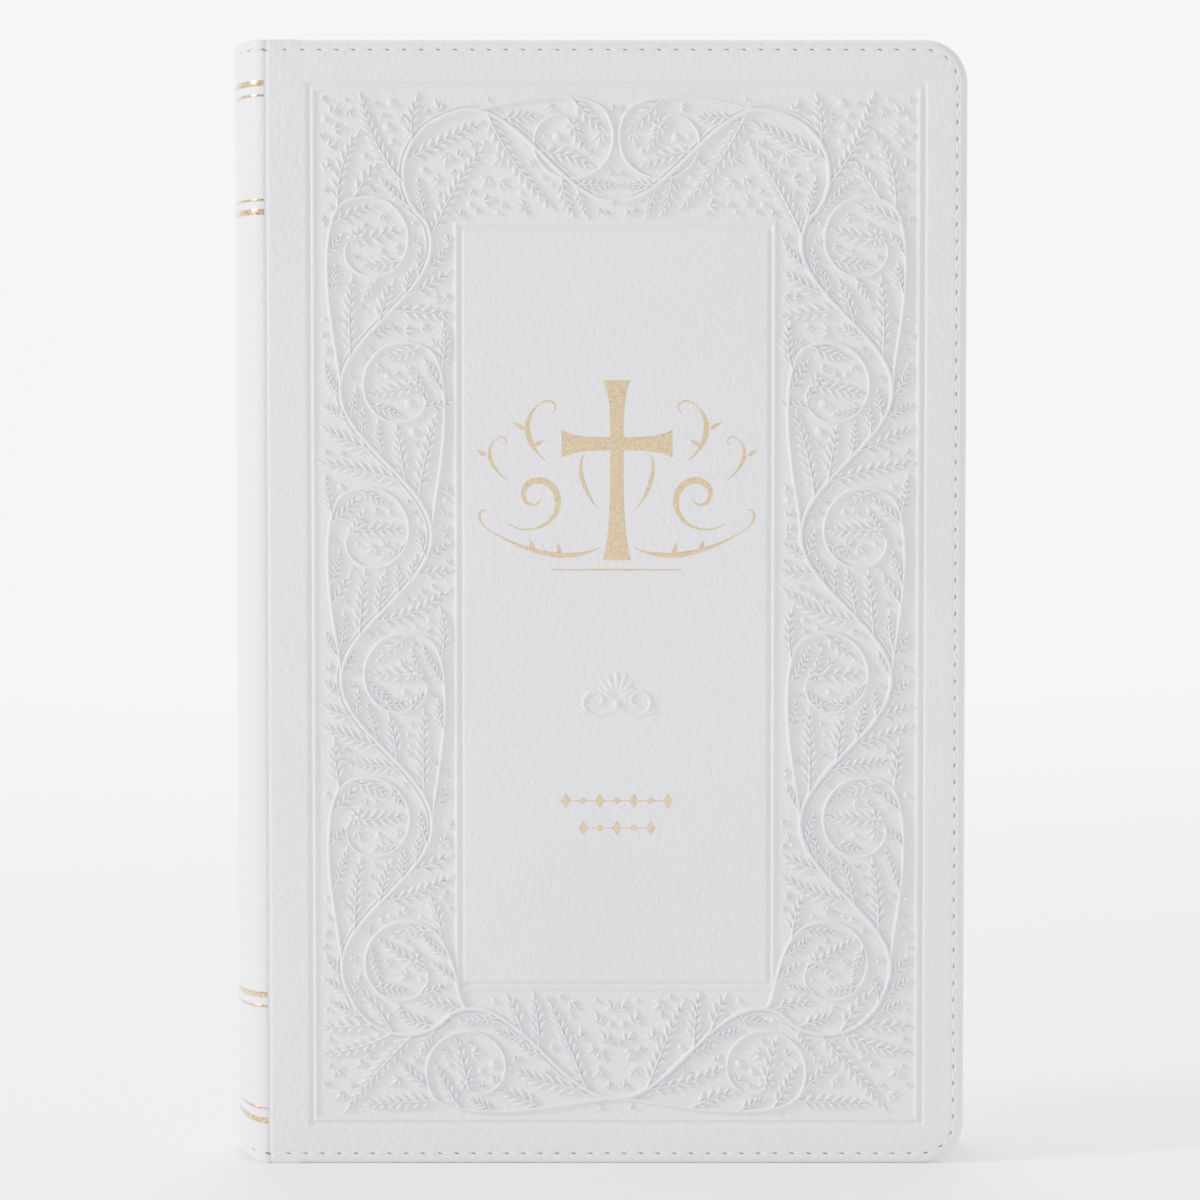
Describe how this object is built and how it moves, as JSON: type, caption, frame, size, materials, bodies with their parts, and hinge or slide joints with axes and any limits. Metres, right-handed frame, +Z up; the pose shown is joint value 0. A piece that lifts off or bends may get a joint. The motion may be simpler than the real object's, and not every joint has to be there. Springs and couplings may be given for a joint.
{
  "type": "bible",
  "caption": "White leather-look gift bible with a rounded spine, stitched edges, embossed vine border and gold foil cross; covers and pages open.",
  "frame": {"origin": "centre of the closed book's footprint, at the tail edge that it stands on", "axes": "+Z up from tail to head, +X from the spine to the fore-edge, and +Y from the front cover to the back cover"},
  "size_m": [0.1396, 0.0279, 0.213],
  "materials": {
    "white_leather": "satin white faux leather with a fine calf grain",
    "board": "raw grey binder's board",
    "pages": "thin cream paper with gilt edges",
    "endpaper": "smooth white endpaper",
    "mull": "open glued binding cloth",
    "thread": "white waxed sewing thread",
    "end_band": "woven white and gold band",
    "gold_foil": "hot-stamped satin gold foil"
  },
  "bodies": {
    "back_leaves_outer": {"signature_15": "pages", "signature_16": "pages", "back_flyleaf": "endpaper", "back_joint_leather": "white_leather"},
    "back_leaves_third": {"signature_13": "pages", "signature_14": "pages"},
    "back_leaves_second": {"signature_11": "pages", "signature_12": "pages"},
    "back_leaves_inner": {"signature_09": "pages", "signature_10": "pages", "sewing_chain_back_1": "thread", "sewing_chain_back_2": "thread", "sewing_chain_back_3": "thread", "back_mull": "mull", "head_band_back": "end_band", "tail_band_back": "end_band"},
    "front_leaves_inner": {"signature_07": "pages", "signature_08": "pages", "sewing_chain_front_1": "thread", "sewing_chain_front_2": "thread", "sewing_chain_front_3": "thread", "front_mull": "mull", "head_band_front": "end_band", "tail_band_front": "end_band"},
    "front_leaves_second": {"signature_05": "pages", "signature_06": "pages"},
    "front_leaves_third": {"signature_03": "pages", "signature_04": "pages"},
    "front_leaves_outer": {"signature_01": "pages", "signature_02": "pages", "front_flyleaf": "endpaper"},
    "spine": {"spine_leather": "white_leather", "spine_inlay": "board", "spine_band_tail_1": "gold_foil", "spine_band_tail_2": "gold_foil", "spine_band_tail_3": "gold_foil", "spine_band_tail_4": "gold_foil", "spine_band_head_1": "gold_foil", "spine_band_head_2": "gold_foil", "spine_band_head_3": "gold_foil", "spine_band_head_4": "gold_foil"},
    "front_joint": {"front_joint_leather": "white_leather"},
    "front_cover": {"front_cover_leather": "white_leather", "front_board": "board", "front_pastedown": "endpaper", "front_stitching": "thread", "foil_cross": "gold_foil", "foil_scroll_left": "gold_foil", "foil_scroll_right": "gold_foil", "foil_rule": "gold_foil", "foil_row_upper": "gold_foil", "foil_row_lower": "gold_foil"},
    "back_cover": {"back_cover_leather": "white_leather", "back_board": "board", "back_pastedown": "endpaper", "back_stitching": "thread"}
  },
  "joints": [
    {"name": "pages_turn", "type": "hinge", "parent": "back_leaves_inner", "child": "front_leaves_inner", "pos_m": [-0.06235, 0, 0], "axis": [0, 0, -1], "range_deg": [0, 180]},
    {"name": "spine_fold", "type": "hinge", "parent": "back_leaves_outer", "child": "spine", "pos_m": [-0.06235, 0.014, 0], "axis": [0, 0, -1], "range_deg": [0, 90]},
    {"name": "front_joint_fold", "type": "hinge", "parent": "spine", "child": "front_joint", "pos_m": [-0.06235, -0.014, 0], "axis": [0, 0, -1], "range_deg": [0, 90]},
    {"name": "front_cover_opening", "type": "hinge", "parent": "front_joint", "child": "front_cover", "pos_m": [-0.05635, -0.014, 0], "axis": [0, 0, -1], "range_deg": [0, 120]},
    {"name": "back_cover_opening", "type": "hinge", "parent": "back_leaves_outer", "child": "back_cover", "pos_m": [-0.05635, 0.014, 0], "axis": [0, 0, 1], "range_deg": [0, 65]},
    {"name": "back_third_shear", "type": "slide", "parent": "back_leaves_outer", "child": "back_leaves_third", "axis": [-1, 0, 0], "range_m": [0, 0.00401]},
    {"name": "back_second_shear", "type": "slide", "parent": "back_leaves_outer", "child": "back_leaves_second", "axis": [-1, 0, 0], "range_m": [0, 0.00801]},
    {"name": "back_inner_shear", "type": "slide", "parent": "back_leaves_outer", "child": "back_leaves_inner", "axis": [-1, 0, 0], "range_m": [0, 0.01201]},
    {"name": "front_second_shear", "type": "slide", "parent": "front_leaves_inner", "child": "front_leaves_second", "axis": [1, 0, 0], "range_m": [0, 0.00534]},
    {"name": "front_third_shear", "type": "slide", "parent": "front_leaves_inner", "child": "front_leaves_third", "axis": [1, 0, 0], "range_m": [0, 0.01068]},
    {"name": "front_outer_shear", "type": "slide", "parent": "front_leaves_inner", "child": "front_leaves_outer", "axis": [1, 0, 0], "range_m": [0, 0.01601]}
  ],
  "couplings": [
    {"joint": "spine_fold", "follows": "pages_turn", "ratio": 0.5},
    {"joint": "front_joint_fold", "follows": "pages_turn", "ratio": 0.5},
    {"joint": "back_third_shear", "follows": "pages_turn", "m_per_rad": 0.0012732},
    {"joint": "back_second_shear", "follows": "pages_turn", "m_per_rad": 0.0025465},
    {"joint": "back_inner_shear", "follows": "pages_turn", "m_per_rad": 0.0038197},
    {"joint": "front_second_shear", "follows": "pages_turn", "m_per_rad": 0.0016976},
    {"joint": "front_third_shear", "follows": "pages_turn", "m_per_rad": 0.0033953},
    {"joint": "front_outer_shear", "follows": "pages_turn", "m_per_rad": 0.005093}
  ]
}
